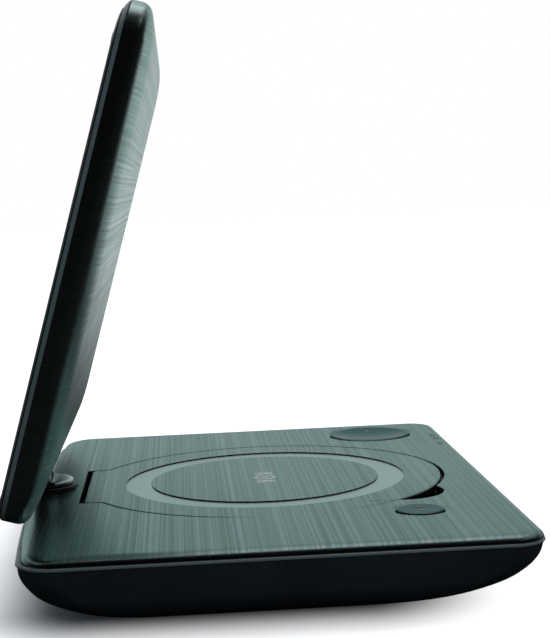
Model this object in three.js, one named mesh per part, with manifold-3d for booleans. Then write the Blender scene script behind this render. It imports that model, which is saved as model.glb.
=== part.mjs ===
// Portable disc player with a swivelling, tilting screen lid.
// Units are millimetres and +Z is up.  The design frame has its origin at the
// centre of the disc door on the plane of the top cover; the whole model is
// then moved so that the origin is under the middle of its outer box, on the
// surface it stands on.  +Y is the hinge side, -Y the front, +X the user's right.
import * as THREE from 'three';
import { mergeVertices } from 'three/addons/utils/BufferGeometryUtils.js';
import Module from 'manifold-3d';

const wasm = await Module();
wasm.setup();

// ---------------------------------------------------------------- dimensions
const HALF_W = 120;            // half width of the top cover at its seam
const Y_FRONT = -87.3;         // front edge of the top cover
const Y_REAR = 92.9;           // rear edge of the top cover
const REAR_BOW = 6.4;          // how far the cover's rear edge curves forward at its ends
const SHELL_BOW = 4.9;         // the same for the lower shell
const R_FRONT = 11, R_REAR = 12.5;
const TOP_H = 28.5;            // top cover plane above the table
const EDGE_W = 5.6, EDGE_D = 2.45;   // rolled edge of the top cover
const SEAM = 0.4;              // gap between the top cover and the lower shell
const SHELL_T = 1.8;           // wall of the lower shell
const SHELL_BOT = -27.1;       // outside of the shell floor

const DOOR_R = 71.8, DOOR_GAP = 0.5;     // round disc door and its line gap
const TAB_HW = 32.4, TAB_Y = 71.1, TAB_GAP_Y = 73.1;
const DOOR_T = 2.1;
const DOOR_AX_Y = 69.3, DOOR_AX_Z = -2.3;
const RING_RO = 56.2, RING_RI = 45.7, RING_D = 0.45;
const BAY_R = 63, BAY_FLOOR = -10, BAY_T = 1.5;

const DPAD = [91.5, -54.8], DPAD_R = 18.2;
const PLAY = [-72.8, -51.6], PLAY_R = 8.6;
const KEY_TRAVEL = 0.5;
const NOTCH_R = 16, NOTCH_C = [-39.65, -49.85], NOTCH_FLOOR = -7.4;

const SWIVEL_Y = 88.8;         // swivel axis
const LOBE_R = 16.5;           // lobe of the base around the swivel
const TURN_R = 12.8, TURN_TOP = 1.9;
const AXIS_Z = 7.55;           // tilt axis height over the top cover
const LEAN = 16.4;             // lean of the lid from upright, toward the front

const LID_HW = 120, LID_V0 = 2.4, LID_V1 = 177.6, LID_T = 13;
const LID_R_TOP = 12, LID_R_BOT = 14;
const LID_SEAM_B = -5.4;       // seam between the lid bezel and the back shell
const LID_WALL = 1.8;
const CUT_HW = 22, CUT_V = 13.6;   // hinge cut-out of the lid
const WIN_HW = 101.5, WIN_V0 = 45, WIN_V1 = 161;

// ------------------------------------------------------------------- helpers
function solid(geometry) {
  const g = geometry.clone();
  g.deleteAttribute('normal');
  g.deleteAttribute('uv');
  const m = mergeVertices(g, 1e-4);
  const mesh = new wasm.Mesh({
    numProp: 3,
    vertProperties: new Float32Array(m.attributes.position.array),
    triVerts: new Uint32Array(m.index.array),
  });
  return new wasm.Manifold(mesh);
}
function geometryOf(manifold) {
  const mesh = manifold.getMesh();
  const g = new THREE.BufferGeometry();
  const n = mesh.numProp, count = mesh.vertProperties.length / n;
  const pos = new Float32Array(count * 3);
  for (let i = 0; i < count; i++) for (let k = 0; k < 3; k++) pos[3 * i + k] = mesh.vertProperties[n * i + k];
  g.setAttribute('position', new THREE.BufferAttribute(pos, 3));
  g.setIndex(new THREE.BufferAttribute(new Uint32Array(mesh.triVerts), 1));
  g.computeVertexNormals();
  return g;
}
const join = (...list) => list.reduce((a, b) => a.add(b));
const cut = (a, ...list) => list.reduce((x, b) => x.subtract(b), a);

function box(x0, x1, y0, y1, z0, z1) {
  const g = new THREE.BoxGeometry(x1 - x0, y1 - y0, z1 - z0);
  g.translate((x0 + x1) / 2, (y0 + y1) / 2, (z0 + z1) / 2);
  return solid(g);
}
function cylZ(x, y, z0, z1, r, n = 32, r2 = r) {
  const g = new THREE.CylinderGeometry(r2, r, z1 - z0, n);
  g.rotateX(Math.PI / 2);
  g.translate(x, y, (z0 + z1) / 2);
  return solid(g);
}
function cylX(x0, x1, y, z, r, n = 24) {
  const g = new THREE.CylinderGeometry(r, r, x1 - x0, n);
  g.rotateZ(-Math.PI / 2);
  g.translate((x0 + x1) / 2, y, z);
  return solid(g);
}
function cylY(y0, y1, x, z, r, n = 24) {
  const g = new THREE.CylinderGeometry(r, r, y1 - y0, n);
  g.translate(x, (y0 + y1) / 2, z);
  return solid(g);
}
// turned piece about +Z: profile of [radius, z] that starts and ends on the axis or closes on itself
function latheZ(x, y, profile, n = 32) {
  const g = new THREE.LatheGeometry(profile.map(([r, z]) => new THREE.Vector2(r, z)), n);
  g.rotateX(Math.PI / 2);
  g.translate(x, y, 0);
  return solid(g);
}
function latheY(x, z, profile, n = 16) {
  const g = new THREE.LatheGeometry(profile.map(([r, y]) => new THREE.Vector2(r, y)), n);
  g.translate(x, 0, z);
  return solid(g);
}
// plan outline with rounded corners, counter-clockwise, from THREE.Shape
function plan(x0, x1, y0, y1, rFront, rRear, seg = 4) {
  const s = new THREE.Shape();
  s.moveTo(x0 + rFront, y0);
  s.lineTo(x1 - rFront, y0);
  s.absarc(x1 - rFront, y0 + rFront, rFront, -Math.PI / 2, 0);
  s.lineTo(x1, y1 - rRear);
  s.absarc(x1 - rRear, y1 - rRear, rRear, 0, Math.PI / 2);
  s.lineTo(x0 + rRear, y1);
  s.absarc(x0 + rRear, y1 - rRear, rRear, Math.PI / 2, Math.PI);
  s.lineTo(x0, y0 + rFront);
  s.absarc(x0 + rFront, y0 + rFront, rFront, Math.PI, 1.5 * Math.PI);
  const out = [];
  for (const p of s.getPoints(seg)) {
    const q = out[out.length - 1];
    if (!q || Math.hypot(p.x - q[0], p.y - q[1]) > 1e-3) out.push([p.x, p.y]);
  }
  const a = out[0], b = out[out.length - 1];
  if (Math.hypot(a[0] - b[0], a[1] - b[1]) < 1e-3) out.pop();
  return out;
}
// extra points along the long rear edge so that it can bow
function bowed(pts, y1, bow) {
  const out = [];
  for (let i = 0; i < pts.length; i++) {
    const p = pts[i], q = pts[(i + 1) % pts.length];
    out.push(p);
    if (p[1] > y1 - 0.01 && q[1] > y1 - 0.01 && Math.abs(p[0] - q[0]) > 60) {
      for (let k = 1; k < 6; k++) out.push([p[0] + (q[0] - p[0]) * k / 6, y1]);
    }
  }
  return out.map(([x, y]) => {
    const t = Math.min(1, Math.max(0, (y - 40) / (y1 - 40)));
    return [x, y - bow * t * Math.pow(Math.abs(x) / HALF_W, 2)];
  });
}
// closed loft through rings of equal point count, from the lowest z to the highest
function loft(rings) {
  const n = rings[0].pts.length, pos = [], idx = [];
  for (const r of rings) for (const [x, y] of r.pts) pos.push(x, y, r.z);
  for (let k = 0; k + 1 < rings.length; k++) {
    for (let i = 0; i < n; i++) {
      const j = (i + 1) % n, a = k * n + i, b = k * n + j, c = (k + 1) * n + j, d = (k + 1) * n + i;
      idx.push(a, b, c, a, c, d);
    }
  }
  const cap = (k, up) => {
    const contour = rings[k].pts.map(([x, y]) => new THREE.Vector2(x, y));
    for (const t of THREE.ShapeUtils.triangulateShape(contour, [])) {
      const [a, b, c] = t.map((i) => k * n + i);
      if (up) idx.push(a, b, c); else idx.push(a, c, b);
    }
  };
  cap(0, false);
  cap(rings.length - 1, true);
  const g = new THREE.BufferGeometry();
  g.setAttribute('position', new THREE.BufferAttribute(new Float32Array(pos), 3));
  g.setIndex(idx);
  return solid(g);
}

// ------------------------------------------------------------------ materials
const mat = (color, roughness, metalness, extra = {}) =>
  new THREE.MeshStandardMaterial({ color, roughness, metalness, ...extra });
const M = {
  brushed: mat(0x5f6f72, 0.38, 0.55),
  ring: mat(0x8d9c9d, 0.35, 0.4),
  shell: mat(0x0a0e10, 0.3, 0.0),
  satin: mat(0x1b2224, 0.5, 0.0),
  dark: mat(0x0c0f11, 0.45, 0.0),
  rubber: mat(0x101112, 0.85, 0.0),
  steel: mat(0x9aa0a3, 0.3, 1.0),
  zinc: mat(0x8d979a, 0.4, 1.0),
  pcb: mat(0x1f5a3a, 0.6, 0.0),
  foil: mat(0x2b3d55, 0.5, 0.1),
  white: mat(0xd9dcdc, 0.55, 0.0),
  lens: mat(0xa7c3d8, 0.05, 0.0),
  screen: mat(0x05070a, 0.08, 0.0),
  brass: mat(0xb08d4c, 0.35, 1.0),
};

const root = new THREE.Group();
const base = new THREE.Group();
root.add(base);
function add(parent, name, manifold, material) {
  const mesh = new THREE.Mesh(geometryOf(manifold), material);
  mesh.name = name;
  parent.add(mesh);
  return mesh;
}

// ------------------------------------------------------------- base top cover
const coverRing = (d, z) => ({
  z,
  pts: bowed(plan(-HALF_W + d, HALF_W - d, Y_FRONT + d, Y_REAR - d, Math.max(4, R_FRONT - d), Math.max(8, R_REAR - d)), Y_REAR - d, REAR_BOW),
});
{
  let cover = loft([
    coverRing(0, -EDGE_D), coverRing(0.5, -1.5), coverRing(1.8, -0.72), coverRing(3.6, -0.2), coverRing(EDGE_W, 0),
  ]);
  // lobe that carries the swivel, with the same rolled edge
  const lobe = latheZ(0, SWIVEL_Y, [[0, -EDGE_D], [LOBE_R, -EDGE_D], [LOBE_R - 0.5, -1.5], [LOBE_R - 1.4, -0.72], [LOBE_R - 2.0, -0.2], [LOBE_R - 2.4, 0], [0, 0]], 32);
  cover = join(cover, lobe);
  // disc bay cup, door ledge, door-hinge pocket, finger notch, key wells, screw bosses
  cover = join(
    cover,
    cylZ(0, 0, BAY_FLOOR - BAY_T, -2.2, BAY_R + BAY_T, 56),
    cylZ(0, 0, -4.4, -2.2, DOOR_R + 4, 56),
    box(-TAB_HW - 2.6, TAB_HW + 2.6, 60, 75.6, -8, -2.2),
    cylZ(NOTCH_C[0], NOTCH_C[1], NOTCH_FLOOR - 1.2, -2.2, NOTCH_R + 1.3, 28),
    ...[[62, -68], [-62, -68], [88, 66], [-88, 66]].map(([x, y]) => cylZ(x, y, -9, -2.2, 3.2, 14)),
  );
  cover = cut(
    cover,
    // door opening, full depth of the plate, down to the ledge
    cylZ(0, 0, -2.75, 2, DOOR_R + DOOR_GAP, 56),
    box(-TAB_HW - DOOR_GAP, TAB_HW + DOOR_GAP, 20, TAB_GAP_Y, -2.75, 2),
    cylZ(0, 0, BAY_FLOOR, 1, BAY_R, 56),
    box(-TAB_HW - DOOR_GAP, TAB_HW + DOOR_GAP, 64.9, TAB_GAP_Y, -6.6, -2),
    cylX(-TAB_HW - 2.1, TAB_HW + 2.1, DOOR_AX_Y, DOOR_AX_Z, 1.3, 12),
    // slot of the bay floor for the hub and the pickup
    cylZ(0, 0, -12, -9, 16.5, 24),
    box(-9, 9, 0, 60.5, -12, -9),
    // ledge slot for the door catch
    box(-5.6, 5.6, -71.4, -64.8, -5, -2),
    // finger notch beside the door
    cut(cylZ(NOTCH_C[0], NOTCH_C[1], NOTCH_FLOOR, 1, NOTCH_R, 28), cylZ(0, 0, -12, 2, BAY_R + 3, 56)),
    // key wells with a shallow outer recess
    cylZ(DPAD[0], DPAD[1], -3, 1, DPAD_R + 0.4, 28), cylZ(DPAD[0], DPAD[1], -0.45, 1, DPAD_R + 1.7, 28),
    cylZ(PLAY[0], PLAY[1], -3, 1, PLAY_R + 0.35, 20), cylZ(PLAY[0], PLAY[1], -0.45, 1, PLAY_R + 1.8, 20),
    // light pipes
    ...[[79.1, -82.2], [70.8, -82.2], [57.4, -82.0]].map(([x, y]) => box(x - 1.5, x + 1.5, y - 0.8, y + 0.8, -3, 1)),
    // swivel seat and neck bore
    cylZ(0, SWIVEL_Y, -0.65, 2, TURN_R + 0.9, 32), cylZ(0, SWIVEL_Y, -3, 1, 8, 24),
    ...[[62, -68], [-62, -68], [88, 66], [-88, 66]].map(([x, y]) => cylZ(x, y, -10, -4.2, 1.6, 10)),
  );
  add(base, 'base_top_cover', cover, M.brushed);
}

// ------------------------------------------------------------ base lower shell
// outward lip under the seam, then a hull: nearly upright sides that tuck under,
// a long sweep at the front and a shorter one at the rear
const HULL = [   // z, side inset, front inset, rear inset, front corner, rear corner
  [SHELL_BOT, 27, 60, 29, 22, 31],
  [-26.2, 21.5, 50, 25, 21, 30],
  [-24.4, 13.5, 37.5, 19.5, 19.5, 28],
  [-21.3, 6.0, 23, 12.5, 17.5, 25],
  [-17.0, 2.0, 11.3, 6.2, 15.5, 21],
  [-12.8, 0.8, 4.8, 2.8, 13.8, 17.5],
  [-8.5, 0.2, 1.3, 0.6, 12.4, 15],
  [-4.4, -0.3, -0.5, -0.3, 12, 13.5],
  [-EDGE_D - SEAM, -0.5, -0.6, -0.6, 11.5, 13.5],
];
function hullAt(z, grow) {
  let k = 0;
  while (k + 2 < HULL.length && HULL[k + 1][0] < z) k++;
  const a = HULL[k], b = HULL[k + 1], t = (z - a[0]) / (b[0] - a[0]);
  const v = a.map((q, i) => q + (b[i] - q) * t);
  const [, s, f, r, rf, rr] = v;
  return plan(-HALF_W + s + grow, HALF_W - s - grow, Y_FRONT + f + grow, Y_REAR - r - grow, Math.max(3, rf - grow), Math.max(3, rr - grow));
}
{
  const outer = loft(HULL.map((h) => ({ z: h[0], pts: bowed(hullAt(h[0], 0), Y_REAR - h[3], SHELL_BOW) })));
  const innerZ = [SHELL_BOT + SHELL_T, -24.4, -21.3, -17.0, -12.8, -8.5, 1];
  const inner = loft(innerZ.map((z) => {
    const zz = Math.min(z, -EDGE_D - SEAM), src = Math.max(SHELL_BOT, zz - 0.9);
    let k = 0;
    while (k + 2 < HULL.length && HULL[k + 1][0] < src) k++;
    const a = HULL[k], b = HULL[k + 1], t = (src - a[0]) / (b[0] - a[0]);
    const r = a[3] + (b[3] - a[3]) * t;
    return { z, pts: bowed(hullAt(src, SHELL_T), Y_REAR - r - SHELL_T, SHELL_BOW) };
  }));
  // lobe under the swivel
  const lobeOut = latheZ(0, SWIVEL_Y, [[0, -13.5], [9, -12.4], [13.2, -10], [15.6, -7], [LOBE_R + 0.3, -4.4], [LOBE_R + 0.5, -EDGE_D - SEAM], [0, -EDGE_D - SEAM]], 28);
  const lobeIn = latheZ(0, SWIVEL_Y, [[0, -10.8], [9, -10.4], [12.4, -8.4], [13.8, -6.5], [14.6, -4.4], [14.6, 1], [0, 1]], 28);
  let shell = cut(join(outer, lobeOut), inner, lobeIn);
  const posts = [[62, -68, -17], [-62, -68, -17], [88, 66, -22.5], [-88, 66, -22.5]];
  const within = join(outer, lobeOut);
  for (const [x, y] of posts) shell = join(shell, cylZ(x, y, SHELL_BOT, -9.4, 3.6, 14).intersect(within));
  // thick wall behind the power slider
  shell = join(shell, box(113.4, 119.0, -45, -19.5, -13.6, -4.2).intersect(within));
  shell = cut(
    shell,
    ...posts.map(([x, y]) => cylZ(x, y, -30, -9, 1.6, 10)),
    ...posts.map(([x, y, z]) => cylZ(x, y, -30, z, 2.9, 14)),
    // foot recesses
    ...[[80, 52], [-80, 52], [80, -20], [-80, -20]].map(([x, y]) => cylZ(x, y, -30, -26.5, 6.3, 24)),
    // sockets on the user's right side
    cylX(110, 125, 60, -8.6, 4.2, 20), cylX(110, 125, 45, -8.6, 3.3, 16), cylX(110, 125, 32, -8.6, 3.3, 16),
    box(110, 125, 17 - 7.1, 17 + 7.1, -11.8, -5.4), box(110, 125, -7 - 13.1, -7 + 13.1, -11.0, -6.6),
    // slider recess and slot
    box(117.4, 125, -42.5, -22.5, -11.4, -5.8), box(110, 118, -40, -25.5, -9.8, -7.4),
  );
  add(base, 'base_lower_shell', shell, M.shell);
}

// ------------------------------------------------------- feet and base screws
for (const [name, x, y] of [['foot_rear_right', 80, 52], ['foot_rear_left', -80, 52], ['foot_front_right', 80, -20], ['foot_front_left', -80, -20]]) {
  add(base, name, latheZ(x, y, [[0, -TOP_H], [5.2, -TOP_H], [6, -TOP_H + 0.6], [6, -26.8], [0, -26.8]], 24), M.rubber);
}
for (const [name, x, y, z] of [['base_screw_front_right', 62, -68, -17], ['base_screw_front_left', -62, -68, -17], ['base_screw_rear_right', 88, 66, -22.5], ['base_screw_rear_left', -88, 66, -22.5]]) {
  add(base, name, latheZ(x, y, [[0, z - 1.6], [0.9, z - 1.6], [2.5, z - 1.2], [2.5, z - 0.3], [1.25, z - 0.3], [1.25, -5.6], [0.7, -4.6], [0, -4.6]], 14), M.steel);
}

// ----------------------------------------------------- electronics of the base
add(base, 'battery_pack', box(-95, -38, -32, 54, -23.7, -15.9), M.foil);
add(base, 'main_pcb', join(box(38, 110, -44, 58, -15.2, -13.6), box(58, 78, -20, 0, -17.2, -15), box(62, 74, 16, 28, -16.8, -15), box(84, 104, -36, -30, -17.6, -15)), M.pcb);
{
  const jack = (y, nose, bore, body) => cut(
    join(box(104, 114.6, y - body, y + body, -8.6 - 4.3, -8.6 + 3.9), cylX(114, 119, y, -8.6, nose, 16)),
    cylX(109, 121, y, -8.6, bore, 12),
  );
  add(base, 'dc_jack', join(jack(60, 3.9, 2.8, 4.6), cylX(108, 118, 60, -8.6, 0.9, 8)), M.dark);
  add(base, 'av_jack', jack(45, 3.0, 1.8, 3.6), M.dark);
  add(base, 'headphone_jack', jack(32, 3.0, 1.8, 3.6), M.dark);
  add(base, 'usb_port', join(cut(box(105, 119, 17 - 6.7, 17 + 6.7, -11.4, -5.8), box(109, 121, 17 - 6.2, 17 + 6.2, -10.9, -6.3)), box(108.5, 118, 17 - 5, 17 + 5, -8.5, -6.9)), M.zinc);
  add(base, 'card_slot', cut(box(94, 118.6, -7 - 12.7, -7 + 12.7, -10.6, -7.0), box(95.5, 121, -7 - 12.1, -7 + 12.1, -10.0, -7.7)), M.zinc);
}

// ------------------------------------------------------------- optical drive
{
  let deck = box(-34, 34, -20, 74.5, -15, -14);
  deck = join(deck,
    box(14.4, 19.6, 67.2, 72.4, -19.2, -14.6), box(-19.6, -14.4, 67.2, 72.4, -19.2, -14.6),
    box(14.4, 19.6, 11.4, 14.4, -19.2, -14.6), box(-19.6, -14.4, 11.4, 14.4, -19.2, -14.6),
    box(-28.4, -21.6, 67.2, 70.2, -19.2, -14.6));
  deck = cut(deck,
    box(-27, 27, 14.5, 67.1, -20, -13), cylZ(0, 0, -16, -13, 3.4, 12),
    box(-30.4, -20, 2, 16, -16, -13),
    cylY(0, 80, 17, -16.8, 1.8, 10), cylY(0, 80, -17, -16.8, 1.8, 10), cylY(60, 80, -25, -16.8, 1.2, 8),
    ...[[30.5, -16], [-30.5, -16], [0, 70.8]].map(([x, y]) => cylZ(x, y, -16, -13, 1.6, 8)));
  add(base, 'drive_deck', deck, M.zinc);
  for (const [name, x, y] of [['deck_damper_right', 30.5, -16], ['deck_damper_left', -30.5, -16], ['deck_damper_rear', 0, 70.8]]) {
    add(base, name, cut(cylZ(x, y, -13.7, -11.8, 3.4, 14), cylZ(x, y, -15, -11, 1.5, 8)), M.rubber);
  }
  add(base, 'spindle_motor', cut(latheZ(0, 0, [[0, -21.2], [9.6, -21.2], [10.4, -20.6], [10.4, -15.4], [0, -15.4]], 24), cylZ(0, 0, -19, -14, 1.4, 10)), M.zinc);
  add(base, 'spindle_shaft', cylZ(0, 0, -18.6, -5.4, 1.0, 10), M.steel);
  add(base, 'disc_hub', cut(latheZ(0, 0, [[0, -11.4], [4, -11.4], [4, -9.6], [13, -9.6], [13, -8.4], [7.45, -8.4], [7.2, -6.2], [5.2, -4.9], [0, -4.9]], 24), cylZ(0, 0, -12, -5.15, 1.3, 10)), M.satin);
  add(base, 'guide_rod_right', cylY(11.6, 72.2, 17, -16.8, 1.5, 10), M.steel);
  add(base, 'guide_rod_left', cylY(11.6, 72.2, -17, -16.8, 1.5, 10), M.steel);
  const sy = 25;
  add(base, 'pickup_sled', cut(
    join(box(-21, 21, sy - 8, sy + 8, -19.4, -14.2), box(-8.4, 8.4, sy - 8, sy + 8, -14.4, -12.5), box(-23.05, -20.8, sy - 3, sy + 3, -18.2, -15.4)),
    cylY(sy - 9, sy + 9, 17, -16.8, 1.8, 10), cylY(sy - 9, sy + 9, -17, -16.8, 1.8, 10)), M.dark);
  add(base, 'objective_lens', latheZ(0, sy, [[0, -12.2], [3.4, -12.2], [3.4, -10.6], [2.6, -10.3], [1.6, -10.05], [0, -9.95]], 16), M.lens);
  const thread = [[0, 14.8], [0.9, 14.8], [0.9, 17.4], [1.2, 17.6]];
  for (let y = 18.2; y < 65; y += 3) thread.push([1.6, y + 1.5], [1.2, y + 3]);
  thread.push([0.9, 66.4], [0.9, 69.4], [0, 69.4]);
  add(base, 'lead_screw', latheY(-25, -16.8, thread, 8), M.steel);
  add(base, 'sled_motor', cut(join(cylY(4, 14.6, -25, -16.8, 4.4, 16), box(-27.5, -22.5, 2.4, 4.2, -18.6, -15)), cylY(12, 16, -25, -16.8, 1.3, 8)), M.zinc);
}

// --------------------------------------------------------------- disc door
{
  let door = join(
    cut(cylZ(0, 0, -DOOR_T, 0, DOOR_R, 56), box(-80, 80, TAB_Y, 90, -5, 5)),
    box(-TAB_HW, TAB_HW, 20, TAB_Y, -DOOR_T, 0),
    // hinge ears
    box(-26, -20, 67.4, 71.0, -2.6, -1), box(20, 26, 67.4, 71.0, -2.6, -1),
    cylX(-26, -20, DOOR_AX_Y, DOOR_AX_Z, 2.25, 14), cylX(20, 26, DOOR_AX_Y, DOOR_AX_Z, 2.25, 14),
    // snap catch
    box(-4.2, 4.2, -69.2, -67.6, -4.6, -1.6), box(-4.2, 4.2, -70.0, -67.6, -4.6, -3.9));
  door = cut(door,
    cylX(-27, 27, DOOR_AX_Y, DOOR_AX_Z, 1.3, 12),
    box(-20.3, 20.3, 67.5, TAB_Y + 1, -4, -1.05), box(-TAB_HW - 1, -25.7, 67.5, TAB_Y + 1, -4, -1.05), box(25.7, TAB_HW + 1, 67.5, TAB_Y + 1, -4, -1.05),
    cut(cylZ(0, 0, -RING_D, 1, RING_RO, 56), cylZ(0, 0, -1, 2, RING_RI, 56)));
  add(base, 'disc_door', door, M.brushed);
  add(base, 'door_pin', cylX(-TAB_HW - 1.8, TAB_HW + 1.8, DOOR_AX_Y, DOOR_AX_Z, 1.0, 12), M.steel);
}

// -------------------------------------------------------------- keys and lights
add(base, 'dpad_key', latheZ(DPAD[0], DPAD[1], [[0, -4.2], [20, -4.2], [20, -3.3], [DPAD_R, -3.3], [DPAD_R, -0.15], [DPAD_R - 0.5, 0.25], [DPAD_R - 2.2, 0.2], [8, -0.5], [6.8, -0.2], [0, -0.1]], 28), M.satin);
add(base, 'play_key', latheZ(PLAY[0], PLAY[1], [[0, -4.2], [10, -4.2], [10, -3.3], [PLAY_R, -3.3], [PLAY_R, -0.1], [PLAY_R - 0.5, 0.25], [0, 0.1]], 20), M.brushed);
add(base, 'dpad_rubber_dome', latheZ(DPAD[0], DPAD[1], [[0, -5.9], [6.5, -5.9], [6.5, -5.4], [4.4, -4.8], [0, -4.8]], 16), M.rubber);
add(base, 'play_rubber_dome', latheZ(PLAY[0], PLAY[1], [[0, -5.9], [5, -5.9], [5, -5.4], [3.4, -4.8], [0, -4.8]], 16), M.rubber);
add(base, 'dpad_switch_board', box(DPAD[0] - 15, DPAD[0] + 15, DPAD[1] - 13, DPAD[1] + 13, -7.6, -6.2), M.pcb);
add(base, 'play_switch_board', box(PLAY[0] - 9, PLAY[0] + 9, PLAY[1] - 8, PLAY[1] + 8, -7.6, -6.2), M.pcb);
for (const [name, x, y] of [['light_pipe_1', 79.1, -82.2], ['light_pipe_2', 70.8, -82.2], ['light_pipe_3', 57.4, -82.0]]) {
  add(base, name, box(x - 1.2, x + 1.2, y - 0.5, y + 0.5, -3.4, -0.02), M.white);
}
add(base, 'power_slider', join(box(117.7, 119.3, -41.5, -34.5, -11.0, -6.2), box(112.5, 118, -39.6, -36.6, -9.4, -7.8)), M.satin);

// ------------------------------------------------------------------ swivel
const swivel = new THREE.Group();
base.add(swivel);
add(swivel, 'turntable', latheZ(0, SWIVEL_Y, [[0, -4.6], [7.6, -4.6], [7.6, -0.35], [TURN_R, -0.35], [TURN_R, 1.3], [TURN_R - 0.6, TURN_TOP], [0, TURN_TOP]], 32), M.dark);
add(swivel, 'swivel_retainer', latheZ(0, SWIVEL_Y, [[0, -6.8], [10.6, -6.8], [10.6, -4.95], [0, -4.95]], 24), M.steel);
add(swivel, 'hinge_tower', cut(
  join(
    latheZ(0, SWIVEL_Y, [[0, 2.2], [11.9, 2.2], [11.9, 3.3], [11.2, 3.9], [8.6, 4.3], [0, 4.3]], 28),
    cylX(-9.2, 9.2, SWIVEL_Y, AXIS_Z, 4.8, 20)),
  cylX(-12, 12, SWIVEL_Y, AXIS_Z, 2.0, 16),
  // room for the turning knuckles
  box(9.3, 30, SWIVEL_Y - 5.2, SWIVEL_Y + 5.2, 2.6, 20), box(-30, -9.3, SWIVEL_Y - 5.2, SWIVEL_Y + 5.2, 2.6, 20)), M.zinc);
add(swivel, 'hinge_pin', cylX(-20.4, 20.4, SWIVEL_Y, AXIS_Z, 1.7, 16), M.steel);

// --------------------------------------------------------------------- lid
// local frame: X across, Y up along the lid from the tilt axis, Z out of the back cover
const lid = new THREE.Group();
lid.position.set(0, SWIVEL_Y, AXIS_Z);
lid.rotation.x = THREE.MathUtils.degToRad(90 + LEAN);
base.add(lid);
const lidRing = (d, z, top = 0) => ({
  z, pts: plan(-LID_HW + d, LID_HW - d, LID_V0 + d, LID_V1 - d - top, Math.max(2.5, LID_R_BOT - d), Math.max(4, LID_R_TOP - d)),
});
const half = LID_T / 2;
const cutout = box(-CUT_HW, CUT_HW, -20, CUT_V, -20, 20);
{
  const outer = loft([
    lidRing(0.3, LID_SEAM_B, 2.6), lidRing(0, LID_SEAM_B + 0.4, 1.9), lidRing(0, -3.9, 0.3), lidRing(0, -0.6), lidRing(0.35, 1.6), lidRing(1.7, 3.1),
    lidRing(4.4, 4.4), lidRing(8.2, 5.35), lidRing(13, 6.05), lidRing(19.5, half)]);
  const inner = loft([
    lidRing(LID_WALL, LID_SEAM_B - 1, 2.6), lidRing(LID_WALL, LID_SEAM_B + 0.4, 1.9), lidRing(LID_WALL, -3.9, 0.3), lidRing(LID_WALL, 0.4), lidRing(LID_WALL + 2.2, 2.0),
    lidRing(LID_WALL + 6, 3.4), lidRing(LID_WALL + 14, half - LID_WALL)]);
  const keep = box(-CUT_HW - 1.5, CUT_HW + 1.5, -20, CUT_V + 1.5, -20, 20);
  const shell = cut(outer, cut(inner, keep), cutout,
    box(10.8, 20.8, CUT_V - 1, CUT_V + 3, -1.4, 1.4), box(-20.8, -10.8, CUT_V - 1, CUT_V + 3, -1.4, 1.4));
  add(lid, 'lid_back_shell', shell, M.brushed);

  const frame = join(
    loft([lidRing(1.3, -half, 5.2), lidRing(0.5, -half + 0.25, 4.6), lidRing(0.1, LID_SEAM_B - 0.3, 3.0)]),
    cut(loft([lidRing(2.2, -half + 0.6, 3.6), lidRing(2.2, LID_SEAM_B - 0.3, 3.4), lidRing(2.2, -4.9, 2.4)]),
      box(-CUT_HW - 1.8, CUT_HW + 1.8, -20, CUT_V + 1.8, -20, 20)));
  const slots = [];
  for (const s of [-1, 1]) for (let k = 0; k < 5; k++) slots.push(box(s * 76 - 12, s * 76 + 12, 17 + 3.6 * k, 18.5 + 3.6 * k, -10, 0));
  const pads = [[108, 164], [-108, 164], [108, 9], [-108, 9]];
  const bezel = cut(frame, cutout, box(-WIN_HW, WIN_HW, WIN_V0, WIN_V1, -20, 20), ...slots,
    ...pads.map(([x, y]) => cylZ(x, y, -8, -half + 0.7, 3.3, 16)));
  add(lid, 'lid_bezel', bezel, M.dark);
  ['lid_bumper_top_right', 'lid_bumper_top_left', 'lid_bumper_low_right', 'lid_bumper_low_left'].forEach((name, i) => {
    const [x, y] = pads[i];
    add(lid, name, latheZ(x, y, [[0, -7.2], [2.4, -7.2], [3, -6.7], [3, -half + 0.4], [0, -half + 0.4]], 16), M.rubber);
  });
}
add(lid, 'screen_window', box(-WIN_HW + 0.3, WIN_HW - 0.3, WIN_V0 + 0.3, WIN_V1 - 0.3, -6.2, -5.0), M.screen);
add(lid, 'lcd_panel', box(-106, 106, 40.5, 165, -4.5, -1.4), M.zinc);
add(lid, 'lid_pcb', box(-46, 46, 20, 37.5, -3.6, -2.2), M.pcb);
add(lid, 'speaker_right', join(box(62, 90, 14, 36, -4.2, -2.2), cylZ(76, 25, -2.4, 1.2, 9, 20)), M.dark);
add(lid, 'speaker_left', join(box(-90, -62, 14, 36, -4.2, -2.2), cylZ(-76, 25, -2.4, 1.2, 9, 20)), M.dark);
for (const [name, s] of [['hinge_bracket_right', 1], ['hinge_bracket_left', -1]]) {
  const b = (x0, x1, ...r) => (s > 0 ? box(x0, x1, ...r) : box(-x1, -x0, ...r));
  const c = (x0, x1, ...r) => (s > 0 ? cylX(x0, x1, ...r) : cylX(-x1, -x0, ...r));
  add(lid, name, cut(join(c(9.7, 20.4, 0, 0, 4.2, 20), b(12, 20, 2, 30, -0.8, 0.8), b(12, 40, 17.5, 30, -0.8, 0.8)), c(9, 21, 0, 0, 2.0, 16)), M.steel);
}

// ------------------------------------------------------- placing on the table
const Y_MID = 8.95;            // middle of the outer box along Y in the design frame
base.position.set(0, -Y_MID, TOP_H);

export default root;
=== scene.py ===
import math
import bpy
import bmesh
import numpy as np
from mathutils import Vector, Matrix


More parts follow.
